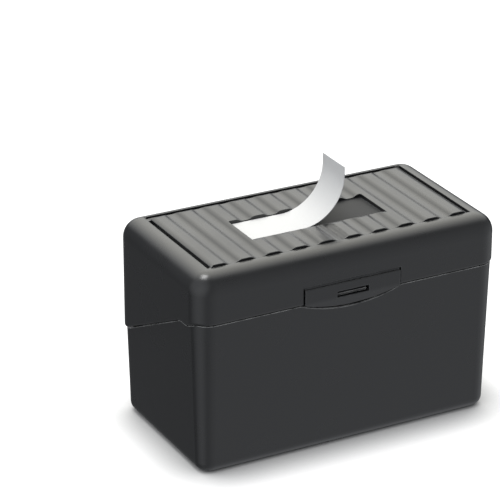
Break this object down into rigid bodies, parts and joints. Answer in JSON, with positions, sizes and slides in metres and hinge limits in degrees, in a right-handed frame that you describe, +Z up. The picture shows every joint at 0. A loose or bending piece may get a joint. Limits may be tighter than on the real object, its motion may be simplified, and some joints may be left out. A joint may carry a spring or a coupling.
{
  "type": "index card file box",
  "caption": "Black moulded plastic index card file box with a hinged, ribbed lid, a flexing snap latch and a curled paper label in its recess.",
  "frame": {"origin": "middle of the bottom of the bounding box, on the surface that the box stands on", "axes": "+X runs along the front to the right (the longest side), -Y faces the latch, +Y the hinge, +Z up"},
  "size_m": [0.143, 0.0766, 0.1134],
  "materials": {
    "black_plastic": "satin moulded plastic, near black",
    "label_paper": "plain white paper"
  },
  "bodies": {
    "base": {"base_tub": "black_plastic"},
    "lid": {"lid_shell": "black_plastic"},
    "latch": {"latch_tongue": "black_plastic"},
    "label": {"label_slip": "label_paper"}
  },
  "joints": [
    {"name": "lid_hinge", "type": "hinge", "parent": "base", "child": "lid", "pos_m": [0, 0.0332, 0.0459], "axis": [-1, 0, 0], "range_deg": [0, 95]},
    {"name": "latch_flex", "type": "hinge", "parent": "lid", "child": "latch", "pos_m": [0, -0.0368, 0.076], "axis": [-1, 0, 0], "range_deg": [0, 20], "stiffness_Nm_per_rad": 0.05},
    {"name": "label_lift", "type": "slide", "parent": "lid", "child": "label", "axis": [0, 0, 1], "range_m": [0, 0.03]}
  ]
}
